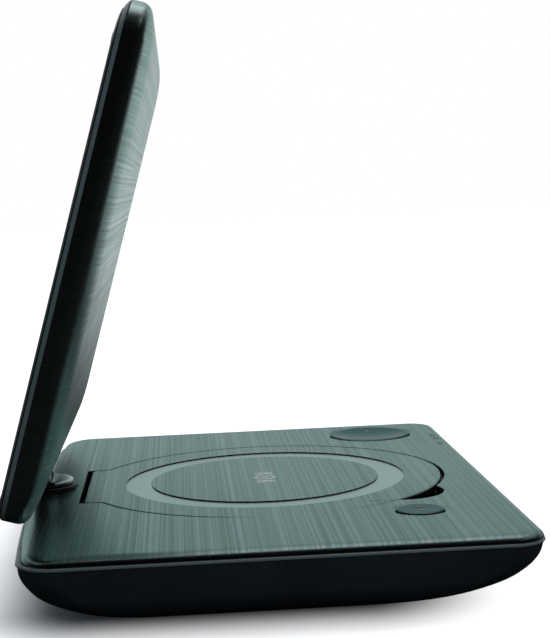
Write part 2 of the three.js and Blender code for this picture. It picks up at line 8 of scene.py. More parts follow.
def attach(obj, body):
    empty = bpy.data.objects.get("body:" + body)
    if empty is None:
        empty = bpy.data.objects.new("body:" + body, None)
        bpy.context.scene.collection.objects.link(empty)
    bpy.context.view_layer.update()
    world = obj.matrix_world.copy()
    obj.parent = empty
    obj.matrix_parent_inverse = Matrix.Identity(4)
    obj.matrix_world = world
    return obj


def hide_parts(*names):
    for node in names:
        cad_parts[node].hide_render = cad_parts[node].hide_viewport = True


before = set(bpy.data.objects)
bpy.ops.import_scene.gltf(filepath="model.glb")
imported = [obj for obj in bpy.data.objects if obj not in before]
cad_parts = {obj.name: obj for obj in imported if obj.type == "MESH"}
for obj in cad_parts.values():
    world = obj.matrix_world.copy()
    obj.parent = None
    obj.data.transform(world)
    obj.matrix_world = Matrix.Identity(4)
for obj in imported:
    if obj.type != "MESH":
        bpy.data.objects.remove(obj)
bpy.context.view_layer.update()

SCN = bpy.context.scene

# ------------------------------------------------------------------ frames
# All shapes are drawn in millimetres in one of two local frames and then put
# in the row frame: "base" has its origin at the disc door's centre on the top
# cover, "lid" has X across, Y along the lid from the tilt axis and Z out of
# the back cover.
OFF_Y, OFF_Z = 8.95, 28.5
PHI = math.radians(106.4)
SW_Y, AX_Z = 88.8, 7.55


def to_base(P):
    P = np.asarray(P, float)
    return np.stack([P[:, 0], P[:, 1] - OFF_Y, P[:, 2] + OFF_Z], 1) * 0.001


def to_lid(P):
    P = np.asarray(P, float)
    c, s = math.cos(PHI), math.sin(PHI)
    y = SW_Y + P[:, 1] * c - P[:, 2] * s
    z = AX_Z + P[:, 1] * s + P[:, 2] * c
    return to_base(np.stack([P[:, 0], y, z], 1))


# ----------------------------------------------------------------- mesh tools
def raw(verts, faces, name="tmp"):
    me = bpy.data.meshes.new(name)
    me.from_pydata([tuple(float(c) for c in v) for v in verts], [], [tuple(int(i) for i in f) for f in faces])
    bm = bmesh.new()
    bm.from_mesh(me)
    bmesh.ops.remove_doubles(bm, verts=bm.verts, dist=1e-5)
    bmesh.ops.recalc_face_normals(bm, faces=bm.faces)
    bm.to_mesh(me)
    bm.free()
    ob = bpy.data.objects.new(name, me)
    SCN.collection.objects.link(ob)
    return ob


def loft(rings):
    """closed body through rings of equal count; each ring is an (N, 3) array"""
    n, verts, faces = len(rings[0]), [], []
    for r in rings:
        verts.extend(r)
    for k in range(len(rings) - 1):
        for i in range(n):
            j = (i + 1) % n
            faces.append((k * n + i, k * n + j, (k + 1) * n + j, (k + 1) * n + i))
    faces.append(tuple(reversed(range(n))))
    faces.append(tuple(range((len(rings) - 1) * n, len(rings) * n)))
    return raw(verts, faces)


def tubeloft(rings):
    """closed ring body: the last ring joins the first"""
    n, verts, faces, K = len(rings[0]), [], [], len(rings)
    for r in rings:
        verts.extend(r)
    for k in range(K):
        k2 = (k + 1) % K
        for i in range(n):
            j = (i + 1) % n
            faces.append((k * n + i, k * n + j, k2 * n + j, k2 * n + i))
    return raw(verts, faces)


def flat(pts, z):
    pts = np.asarray(pts, float)
    return np.concatenate([pts, np.full((len(pts), 1), float(z))], 1)


def circle(cx, cy, r, n=96, a0=0.0):
    a = a0 + np.arange(n) * 2 * np.pi / n
    return np.stack([cx + r * np.cos(a), cy + r * np.sin(a)], 1)


def turned(cx, cy, prof, n=96):
    """turned body about +Z from a profile that starts and ends on the axis"""
    verts, faces, rows = [], [], []
    for r, z in prof:
        if r < 1e-6:
            rows.append([len(verts)])
            verts.append((cx, cy, z))
        else:
            c = circle(cx, cy, r, n)
            rows.append(list(range(len(verts), len(verts) + n)))
            verts.extend(flat(c, z))
    for a, b in zip(rows[:-1], rows[1:]):
        for i in range(n):
            j = (i + 1) % n
            if len(a) == 1 and len(b) == 1:
                continue
            if len(a) == 1:
                faces.append((a[0], b[j], b[i]))
            elif len(b) == 1:
                faces.append((a[i], a[j], b[0]))
            else:
                faces.append((a[i], a[j], b[j], b[i]))
    return raw(verts, faces)


def ringbody(cx, cy, prof, n=96):
    """turned ring from a closed profile that never meets the axis"""
    return tubeloft([flat(circle(cx, cy, r, n), z) for r, z in prof])


def box(x0, x1, y0, y1, z0, z1):
    return loft([flat([(x0, y0), (x1, y0), (x1, y1), (x0, y1)], z) for z in (z0, z1)])


def rbox(x0, x1, y0, y1, z0, z1, r, seg=6, ch=0.0):
    """box with rounded plan corners, and a small chamfer at both ends"""
    p = lambda d: plan(x0 + d, x1 - d, y0 + d, y1 - d, max(r - d, 0.05), max(r - d, 0.05), seg, 1)
    if ch <= 0:
        return loft([flat(p(0), z0), flat(p(0), z1)])
    return loft([flat(p(ch), z0), flat(p(ch * 0.3), z0 + ch * 0.3), flat(p(0), z0 + ch), flat(p(0), z1 - ch), flat(p(ch * 0.3), z1 - ch * 0.3), flat(p(ch), z1)])


def rod_x(x0, x1, y, z, r, n=40, ch=0.0):
    ob = turned(0, 0, [(0, x0)] + ([(r - ch, x0), (r, x0 + ch), (r, x1 - ch), (r - ch, x1)] if ch else [(r, x0), (r, x1)]) + [(0, x1)], n)
    for v in ob.data.vertices:
        a, b, c = v.co
        v.co = (c, y + a, z + b)
    fixnormals(ob)
    return ob


def fixnormals(ob):
    bm = bmesh.new()
    bm.from_mesh(ob.data)
    bmesh.ops.recalc_face_normals(bm, faces=bm.faces)
    bm.to_mesh(ob.data)
    bm.free()
    ob.data.update()


def gather(*obs):
    """one object out of several bodies that don't touch"""
    verts, faces = [], []
    for o in obs:
        b = len(verts)
        verts.extend([tuple(v.co) for v in o.data.vertices])
        faces.extend([tuple(b + i for i in p.vertices) for p in o.data.polygons])
        me = o.data
        bpy.data.objects.remove(o)
        bpy.data.meshes.remove(me)
    me = bpy.data.meshes.new("tmp")
    me.from_pydata(verts, [], faces)
    ob = bpy.data.objects.new("tmp", me)
    SCN.collection.objects.link(ob)
    return ob


def boolean(a, b, op):
    m = a.modifiers.new("b", "BOOLEAN")
    m.operation = op
    m.solver = "EXACT"
    m.object = b
    bpy.context.view_layer.update()
    dg = bpy.context.evaluated_depsgraph_get()
    me = bpy.data.meshes.new_from_object(a.evaluated_get(dg))
    a.modifiers.clear()
    old = a.data
    a.data = me
    bpy.data.meshes.remove(old)
    bm_ = b.data
    bpy.data.objects.remove(b)
    bpy.data.meshes.remove(bm_)
    if not a.data.polygons:
        raise RuntimeError("boolean left nothing")
    return a


def minus(a, *bs):
    for b in bs:
        a = boolean(a, b, "DIFFERENCE")
    return a


def plus(a, *bs):
    for b in bs:
        a = boolean(a, b, "UNION")
    return a


def both(a, b):
    return boolean(a, b, "INTERSECT")


def catmull(rows, per=4):
    """smooth rows of numbers through the given rows"""
    R = np.asarray(rows, float)
    out = []
    n = len(R)
    for i in range(n - 1):
        p0, p1, p2, p3 = R[max(i - 1, 0)], R[i], R[i + 1], R[min(i + 2, n - 1)]
        for k in range(per):
            t = k / per
            out.append(0.5 * ((2 * p1) + (-p0 + p2) * t + (2 * p0 - 5 * p1 + 4 * p2 - p3) * t * t + (-p0 + 3 * p1 - 3 * p2 + p3) * t ** 3))
    out.append(R[-1])
    return np.array(out)


def plan(x0, x1, y0, y1, rf, rr, seg=14, edge=8):
    """rounded plan outline with the same point count for every size"""
    pts = []

    def arc(cx, cy, r, a0):
        for k in range(seg + 1):
            a = a0 + (math.pi / 2) * k / seg
            pts.append((cx + r * math.cos(a), cy + r * math.sin(a)))

    def line(p, q):
        for k in range(1, edge):
            t = k / edge
            pts.append((p[0] + (q[0] - p[0]) * t, p[1] + (q[1] - p[1]) * t))

    arc(x0 + rf, y0 + rf, rf, math.pi)
    line((x0 + rf, y0), (x1 - rf, y0))
    arc(x1 - rf, y0 + rf, rf, -math.pi / 2)
    line((x1, y0 + rf), (x1, y1 - rr))
    arc(x1 - rr, y1 - rr, rr, 0)
    line((x1 - rr, y1), (x0 + rr, y1))
    arc(x0 + rr, y1 - rr, rr, math.pi / 2)
    line((x0, y1 - rr), (x0, y0 + rf))
    return np.array(pts)


def paint(ob, mats, pick=None):
    """materials by face; pick(centre, normal) gives the index, in the local frame"""
    ob.data.materials.clear()
    for m in mats:
        ob.data.materials.append(m)
    for p in ob.data.polygons:
        p.material_index = pick(p.center, p.normal) if pick else 0


def finish_piece(ob, name, xf, body, replaces=(), angle=32, smooth=True):
    me = ob.data
    co = np.array([v.co for v in me.vertices], float)
    co = xf(co)
    for v, c in zip(me.vertices, co):
        v.co = c
    bm = bmesh.new()
    bm.from_mesh(me)
    bmesh.ops.remove_doubles(bm, verts=bm.verts, dist=2e-7)
    bmesh.ops.dissolve_degenerate(bm, dist=1e-7, edges=bm.edges)
    bm.to_mesh(me)
    bm.free()
    me.update()
    me.polygons.foreach_set("use_smooth", [smooth] * len(me.polygons))
    if smooth:
        me.set_sharp_from_angle(angle=math.radians(angle))
        w = ob.modifiers.new("weighted", "WEIGHTED_NORMAL")
        w.keep_sharp = True
        w.weight = 80
    ob.name = name
    me.name = name
    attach(ob, body)
    if replaces:
        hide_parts(*replaces)
    return ob


# ------------------------------------------------------------------ materials
class Nodes:
    def __init__(self, name):
        self.m = bpy.data.materials.new(name)
        self.m.use_nodes = True
        self.t = self.m.node_tree
        self.t.nodes.clear()
        self.out = self.t.nodes.new("ShaderNodeOutputMaterial")
        self.bsdf = self.t.nodes.new("ShaderNodeBsdfPrincipled")
        self.t.links.new(self.bsdf.outputs[0], self.out.inputs[0])
        self.co = self.t.nodes.new("ShaderNodeTexCoord").outputs["Object"]

    def n(self, kind, **kw):
        x = self.t.nodes.new(kind)
        for k, v in kw.items():
            setattr(x, k, v)
        return x

    def link(self, a, b):
        self.t.links.new(a, b)

    def set(self, **kw):
        for k, v in kw.items():
            s = self.bsdf.inputs[k.replace("_", " ")]
            s.default_value = v

    def mapped(self, scale, loc=(0, 0, 0), rot=(0, 0, 0)):
        m = self.n("ShaderNodeMapping")
        m.inputs["Scale"].default_value = scale
        m.inputs["Location"].default_value = loc
        m.inputs["Rotation"].default_value = rot
        self.link(self.co, m.inputs["Vector"])
        return m.outputs[0]

    def noise(self, vec, scale=1.0, detail=2.0, rough=0.5):
        t = self.n("ShaderNodeTexNoise")
        t.inputs["Scale"].default_value = scale
        t.inputs["Detail"].default_value = detail
        t.inputs["Roughness"].default_value = rough
        self.link(vec, t.inputs["Vector"])
        return t.outputs["Fac"]

    def ramp(self, fac, stops):
        r = self.n("ShaderNodeValToRGB")
        e = r.color_ramp.elements
        while len(e) < len(stops):
            e.new(0.5)
        for el, (p, c) in zip(e, stops):
            el.position = p
            el.color = (*c, 1.0) if len(c) == 3 else c
        self.link(fac, r.inputs[0])
        return r.outputs[0]

    def range(self, v, a0, a1, b0, b1):
        r = self.n("ShaderNodeMapRange")
        for k, x in zip(("From Min", "From Max", "To Min", "To Max"), (a0, a1, b0, b1)):
            r.inputs[k].default_value = x
        self.link(v, r.inputs["Value"])
        return r.outputs[0]

    def math(self, op, a, b=None):
        m = self.n("ShaderNodeMath", operation=op)
        for i, v in enumerate((a, b)):
            if v is None:
                continue
            if isinstance(v, (int, float)):
                m.inputs[i].default_value = v
            else:
                self.link(v, m.inputs[i])
        return m.outputs[0]

    def bump(self, h, strength, dist, base=None):
        b = self.n("ShaderNodeBump")
        b.inputs["Strength"].default_value = strength
        b.inputs["Distance"].default_value = dist
        self.link(h, b.inputs["Height"])
        if base is not None:
            self.link(base, b.inputs["Normal"])
        return b.outputs[0]


def brushed(name, lo, mid, hi, across=(0.0, 1.0, 0.0), rough=(0.24, 0.36), metal=1.0, depth=0.00002):
    """lacquered brushed film: straight grain along X, streaks vary only across the grain"""
    g = Nodes(name)
    dp = g.n("ShaderNodeVectorMath", operation="DOT_PRODUCT")
    dp.inputs[1].default_value = across
    g.link(g.co, dp.inputs[0])
    sx = g.n("ShaderNodeSeparateXYZ")
    g.link(g.co, sx.inputs[0])

    def streak(along, per_m, off, detail, rgh):
        c = g.n("ShaderNodeCombineXYZ")
        g.link(g.math("MULTIPLY", sx.outputs[0], along), c.inputs[0])
        g.link(g.math("MULTIPLY", dp.outputs["Value"], per_m), c.inputs[1])
        c.inputs[2].default_value = off
        return g.noise(c.outputs[0], detail=detail, rough=rgh)

    fine = streak(3.0, 2100, 0.37, 1.0, 0.5)
    mid_ = streak(1.7, 880, 3.1, 1.0, 0.5)
    broad = streak(0.9, 150, 7.7, 1.0, 0.5)
    s = g.math("ADD", g.math("MULTIPLY", fine, 0.52), g.math("MULTIPLY", mid_, 0.36))
    s = g.math("ADD", s, g.math("MULTIPLY", broad, 0.12))
    cloud = g.noise(g.mapped((1, 1, 1), loc=(0.4, 0.2, 0.9)), scale=9, detail=3.0)
    col = g.ramp(s, [(0.38, lo), (0.5, mid), (0.62, hi)])
    g.link(col, g.bsdf.inputs["Base Color"])
    r = g.range(s, 0.35, 0.65, rough[1], rough[0])
    g.link(g.math("ADD", r, g.range(cloud, 0.3, 0.7, -0.02, 0.03)), g.bsdf.inputs["Roughness"])
    g.link(g.bump(s, 0.35, depth), g.bsdf.inputs["Normal"])
    g.set(Metallic=metal, Specular_IOR_Level=0.5)
    g.bsdf.inputs["Specular Tint"].default_value = (0.50, 0.61, 0.60, 1)
    return g.m


def satin_metal(name, lo, hi, rough=0.3, tint=(0.56, 0.66, 0.65)):
    """smooth lacquer over metal: no grain, faint cloudiness"""
    g = Nodes(name)
    cloud = g.noise(g.mapped((1, 1, 1), loc=(0.4, 0.2, 0.9)), scale=14, detail=3.0)
    peel = g.noise(g.mapped((1, 1, 1)), scale=700, detail=2.0)
    g.link(g.ramp(cloud, [(0.3, lo), (0.7, hi)]), g.bsdf.inputs["Base Color"])
    g.link(g.range(cloud, 0.3, 0.7, rough - 0.03, rough + 0.03), g.bsdf.inputs["Roughness"])
    g.link(g.bump(peel, 0.2, 0.000008), g.bsdf.inputs["Normal"])
    g.set(Metallic=1.0)
    g.bsdf.inputs["Specular Tint"].default_value = (*tint, 1)
    return g.m


def plastic(name, color, rough, spec=0.35, grain=0.00002, grain_scale=2600, coat=0.0, vary=0.05, wear=0.06):
    """moulded plastic: fine spark-eroded grain, faint cloudiness, small gloss change"""
    g = Nodes(name)
    fine = g.noise(g.mapped((1, 1, 1)), scale=grain_scale, detail=2.0, rough=0.6)
    cloud = g.noise(g.mapped((1, 1, 1), loc=(1.3, 2.7, 0.4)), scale=22, detail=4.0)
    smudge = g.noise(g.mapped((1, 1, 1), loc=(4.2, 0.7, 3.3)), scale=90, detail=5.0, rough=0.7)
    c0 = tuple(x * (1 - wear) for x in color)
    c1 = tuple(min(1, x * (1 + wear) + 0.0006) for x in color)
    g.link(g.ramp(cloud, [(0.35, c0), (0.65, c1)]), g.bsdf.inputs["Base Color"])
    g.link(g.range(smudge, 0.3, 0.7, rough - vary, rough + vary), g.bsdf.inputs["Roughness"])
    g.link(g.bump(fine, 0.35, grain), g.bsdf.inputs["Normal"])
    g.set(Metallic=0.0, Specular_IOR_Level=spec)
    if coat:
        g.bsdf.inputs["Coat Weight"].default_value = coat
        g.bsdf.inputs["Coat Roughness"].default_value = 0.08
    return g.m


def metal(name, color, rough, turn=False, grain=0.00001):
    g = Nodes(name)
    v = g.noise(g.mapped((60, 1400, 1400)) if turn else g.mapped((1, 1, 1)), scale=1.0 if turn else 1400, detail=3.0)
    c = g.noise(g.mapped((1, 1, 1)), scale=60, detail=3.0)
    c0 = tuple(x * 0.86 for x in color)
    g.link(g.ramp(c, [(0.3, c0), (0.7, color)]), g.bsdf.inputs["Base Color"])
    g.link(g.range(v, 0.3, 0.7, rough * 0.8, rough * 1.25), g.bsdf.inputs["Roughness"])
    g.link(g.bump(v, 0.3, grain), g.bsdf.inputs["Normal"])
    g.set(Metallic=1.0)
    return g.m


TEAL_LO, TEAL_MID, TEAL_HI = (0.110, 0.152, 0.151), (0.142, 0.192, 0.190), (0.174, 0.230, 0.227)
# The lid's film is the cover's brushed film painted about twice as light: painted light for the brighter sheen of the
# lid's back.
LID_LIT_LO, LID_LIT_MID, LID_LIT_HI = (0.262, 0.328, 0.322), (0.300, 0.372, 0.364), (0.336, 0.412, 0.404)
M_BRUSH = brushed("brushed_cover", TEAL_LO, TEAL_MID, TEAL_HI)
M_BRUSH_LID_LIT = brushed("brushed_lid_painted_light", LID_LIT_LO, LID_LIT_MID, LID_LIT_HI, across=(0.0, math.cos(PHI), math.sin(PHI)))
M_RING = satin_metal("ring_lacquer", (0.280, 0.355, 0.347), (0.298, 0.374, 0.366))
M_SHELL = plastic("shell_gloss_black", (0.026, 0.034, 0.040), 0.30, spec=0.22, grain=0.000006, grain_scale=1800, wear=0.2)
# Light slate colour on the shell's seam lip and the lid's rim bands: painted reflection of light on these up-facing
# strips.
M_RIM_SHEEN = plastic("rim_painted_sheen", (0.17, 0.22, 0.23), 0.42, spec=0.4, grain=0.00001)
# Near-black plastic for dark parts and insides; its near-black value also paints the shade in recesses, gaps and groove
# walls.
M_BLACK_AND_SHADE = plastic("inner_black_and_shade", (0.0045, 0.0055, 0.0062), 0.5, spec=0.2, grain=0.00002)
M_BEZEL = plastic("bezel_satin_black", (0.009, 0.012, 0.014), 0.38, spec=0.4, grain=0.000014)
M_RUBBER = plastic("rubber_matt", (0.012, 0.012, 0.013), 0.8, spec=0.25, grain=0.00006, grain_scale=1500)
M_STEEL = metal("turned_steel", (0.56, 0.58, 0.60), 0.25, turn=True)
M_ZINC = metal("zinc_plate", (0.50, 0.53, 0.55), 0.4)
M_HINGE = metal("hinge_cast", (0.30, 0.37, 0.37), 0.36)
M_MARK = plastic("printed_pale", (0.50, 0.58, 0.57), 0.45, spec=0.4, grain=0.000004)
M_MARKD = plastic("printed_dark", (0.010, 0.014, 0.016), 0.45, spec=0.4, grain=0.000004)
M_PCB = plastic("solder_mask_green", (0.010, 0.075, 0.032), 0.35, spec=0.5, grain=0.00002, grain_scale=900)
M_FOIL = plastic("cell_film", (0.02, 0.04, 0.09), 0.28, spec=0.5)
M_WHITE = plastic("diffuser_white", (0.72, 0.74, 0.74), 0.35, spec=0.5, grain=0.000004)
M_GOLD = metal("plated_contact", (0.75, 0.55, 0.25), 0.25)


def glass_black(name):
    g = Nodes(name)
    sm = g.noise(g.mapped((1, 1, 1)), scale=35, detail=5.0, rough=0.65)
    g.link(g.ramp(sm, [(0.3, (0.0035, 0.0045, 0.006)), (0.7, (0.0045, 0.0055, 0.007))]), g.bsdf.inputs["Base Color"])
    g.link(g.range(sm, 0.35, 0.75, 0.045, 0.11), g.bsdf.inputs["Roughness"])
    g.set(Specular_IOR_Level=0.5)
    g.bsdf.inputs["Coat Weight"].default_value = 0.6
    g.bsdf.inputs["Coat Roughness"].default_value = 0.04
    return g.m


def lens_mat(name):
    g = Nodes(name)
    painted_grazing_sheen = g.n("ShaderNodeLayerWeight")
    painted_grazing_sheen.inputs[0].default_value = 0.35
    # Base colour by view angle: blue-violet coating tint face-on, turning pale grey-blue towards grazing as a painted
    # sheen.
    g.link(g.ramp(painted_grazing_sheen.outputs["Facing"], [(0.0, (0.05, 0.10, 0.25)), (0.6, (0.12, 0.05, 0.22)), (1.0, (0.3, 0.4, 0.45))]), g.bsdf.inputs["Base Color"])
    g.set(Roughness=0.04, Specular_IOR_Level=0.8)
    g.bsdf.inputs["Coat Weight"].default_value = 1.0
    return g.m


M_SCREEN = glass_black("screen_glass")
M_LENS = lens_mat("lens_coating_painted_sheen")

# ------------------------------------------------------------------ dimensions
HW, YF, YR, RF, RR = 120.0, -87.3, 92.9, 11.0, 12.5
EDGE_W, EDGE_D, SEAM, BOW, SBOW = 5.6, 2.45, 0.4, 6.4, 4.9
DOOR_R, TAB_HW, TAB_Y, TAB_GAP = 71.8, 32.4, 71.1, 73.1
DPAD, DPAD_R, PLAY, PLAY_R = (91.5, -54.8), 18.2, (-72.8, -51.6), 8.6
NOTCH, NOTCH_R = (-39.65, -49.85), 16.0
LOBE_R = 16.5


def bowed(pts, y1, bow=BOW):
    P = np.array(pts, float)
    t = np.clip((P[:, 1] - 40) / (y1 - 40), 0, 1)
    P[:, 1] -= bow * t * (np.abs(P[:, 0]) / HW) ** 2
    return P


def cover_ring(d, z):
    return flat(bowed(plan(-HW + d, HW - d, YF + d, YR - d, max(4.0, RF - d * 0.8), max(8.0, RR - d * 0.8), 16, 14), YR - d), z)


def door_outline(r, a, ytop, rho, corner, slim=0.0, n=150):
    """round door with a squared tab at the rear; slim thins the front left edge"""
    yc = math.sqrt((r + rho) ** 2 - (a + rho) ** 2)
    pts = []
    th = math.atan2(yc, a + rho)               # angle where the round part begins
    for k in range(n + 1):
        t = th - (2 * math.pi - 2 * (math.pi / 2 - th) - 0.0) * 0  # start of the arc, right side
    a0, a1 = math.pi - th, 2 * math.pi + th    # from left tangent, round the front, to the right tangent
    for k in range(n + 1):
        t = a0 + (a1 - a0) * k / n
        rr = r
        if slim:
            u = (math.degrees(t) % 360) - 258
            rr = r - slim * math.exp(-(u / 24.0) ** 2)
        pts.append((rr * math.cos(t), rr * math.sin(t)))
    # concave fillet, right side
    cx = a + rho
    b0, b1 = math.atan2(-yc, -cx), math.pi
    b0 = math.pi + th
    for k in range(1, 9):
        t = b0 + (math.pi - b0) * k / 8
        pts.append((cx + rho * math.cos(t), yc + rho * math.sin(t)))
    for k in range(0, 7):
        t = (math.pi / 2) * k / 6
        pts.append((a - corner + corner * math.cos(t), ytop - corner + corner * math.sin(t)))
    for k in range(0, 7):
        t = math.pi / 2 + (math.pi / 2) * k / 6
        pts.append((-a + corner + corner * math.cos(t), ytop - corner + corner * math.sin(t)))
    for k in range(0, 8):
        t = 0 - th * k / 8
        pts.append((-cx + rho * math.cos(t), yc + rho * math.sin(t)))
    return np.array(pts)


# =============================================================== base top cover
def top_cover():
    th = np.linspace(0, math.pi / 2, 11)
    roll = catmull([(0, -2.45), (0.12, -1.95), (0.42, -1.4), (0.95, -0.88), (1.75, -0.46), (2.9, -0.17), (4.2, -0.04), (5.4, 0)], 3)
    rings = [cover_ring(max(d, 0.0), min(z, 0.0)) for d, z in roll]
    ob = loft(rings)
    prof = [(0, -EDGE_D), (LOBE_R, -EDGE_D)] + [(LOBE_R - 3.0 + 3.0 * math.sin(t), -EDGE_D + EDGE_D * math.cos(t)) for t in th[::-1][1:]] + [(0, 0)]
    ob = plus(ob, turned(0, SW_Y, prof, 96))
    bosses = gather(*[turned(x, y, [(0, -9), (3.2, -9), (3.2, -2.0), (0, -2.0)], 24) for x, y in [(62, -68), (-62, -68), (88, 66), (-88, 66)]])
    ob = plus(
        ob,
        turned(0, 0, [(0, -11.5), (64.0, -11.5), (64.5, -11.0), (64.5, -4.4), (75.8, -4.4), (75.8, -2.0), (0, -2.0)], 160),
        box(-35, 35, 60, 75.6, -8, -2.0),
        turned(NOTCH[0], NOTCH[1], [(0, -8.6), (17.3, -8.6), (17.3, -2.0), (0, -2.0)], 64),
        bosses,
    )
    opening = lambda g: door_outline(DOOR_R + 0.5 + g, TAB_HW + 0.5 + g, TAB_GAP + g, 3.5 - g * 0.5, 0.6 + g)
    cut_open = loft([flat(opening(0), -2.75), flat(opening(0), -0.25), flat(opening(0.08), -0.08), flat(opening(0.28), 0.0), flat(opening(0.28), 1.0)])
    bay = turned(0, 0, [(0, -10), (62.2, -10), (63, -9.2), (63, 2), (0, 2)], 160)
    pocket = box(-32.9, 32.9, 64.9, 73.1, -6.6, -2)
    pin = rod_x(-34.5, 34.5, 69.3, -2.3, 1.3, 24)
    slot_c = turned(0, 0, [(0, -12), (16.5, -12), (16.5, -9), (0, -9)], 64)
    slot_b = rbox(-9, 9, -3, 60.5, -12.2, -8.8, 3.0)
    catch = box(-5.6, 5.6, -71.4, -64.8, -5, -2)
    notch = turned(NOTCH[0], NOTCH[1], [(0, -7.4), (14.6, -7.4), (15.6, -6.6), (16.0, -5.0), (16.0, -0.5), (16.15, -0.15), (16.5, 0.0), (16.5, 1), (0, 1)], 96)
    notch = minus(notch, turned(0, 0, [(0, -14), (66, -14), (66, 3), (0, 3)], 160))

    def well(c, r, ro):
        return turned(c[0], c[1], [(0, -3.2), (r, -3.2), (r, -0.75), (r + 0.12, -0.62), (ro - 0.25, -0.16), (ro, -0.04), (ro + 0.12, 0.0), (ro + 0.12, 1), (0, 1)], 96)

    pits = gather(*[rbox(x - 1.6, x + 1.6, y - 1.0, y + 1.0, -3, 1, 0.5) for x, y in [(79.1, -82.2), (70.8, -82.2), (57.4, -82.0)]])
    seat = turned(0, SW_Y, [(0, -3), (8, -3), (8, -0.65), (13.5, -0.65), (13.7, -0.45), (13.7, -0.1), (13.85, 0.0), (13.85, 1), (0, 1)], 96)
    bores = gather(*[turned(x, y, [(0, -10), (1.6, -10), (1.6, -4.2), (0, -4.2)], 16) for x, y in [(62, -68), (-62, -68), (88, 66), (-88, 66)]])
    ob = minus(ob, cut_open, bay, pocket, pin, slot_c, slot_b, catch, notch, well(DPAD, DPAD_R + 0.35, DPAD_R + 1.7), well(PLAY, PLAY_R + 0.35, PLAY_R + 1.9), pits, seat, bores)
    # Faces below the film and the walls of the openings get the near-black plastic: dark plastic under the film, plus
    # painted shade in the bay, notch, pockets and door gap.
    def pick(c, n):
        outer = abs(c.x) > 112 or c.y < -80 or (c.y > 84 and math.hypot(c.x, c.y - SW_Y) > 14)
        if outer:
            return 0 if c.z > -EDGE_D + 0.01 else 1
        return 0 if (c.z > -0.9 and n.z > 0.25) else 1

    paint(ob, [M_BRUSH, M_BLACK_AND_SHADE], pick)
    return finish_piece(ob, "top_cover_skin", to_base, "base", ["base_top_cover"], angle=25)


# ============================================================= base lower shell
HULL = [   # z, side inset, front inset, rear inset, front corner, rear corner
    (-27.1, 27, 60, 29, 22, 31),
    (-26.2, 21.5, 50, 25, 21, 30),
    (-24.4, 13.5, 37.5, 19.5, 19.5, 28),
    (-21.3, 6.0, 23, 12.5, 17.5, 25),
    (-17.0, 2.0, 11.3, 6.2, 15.5, 21),
    (-12.8, 0.8, 4.8, 2.8, 13.8, 17.5),
    (-8.5, 0.2, 1.3, 0.6, 12.4, 15),
    (-4.5, 0.0, 0.0, 0.1, 12, 13.5),
]


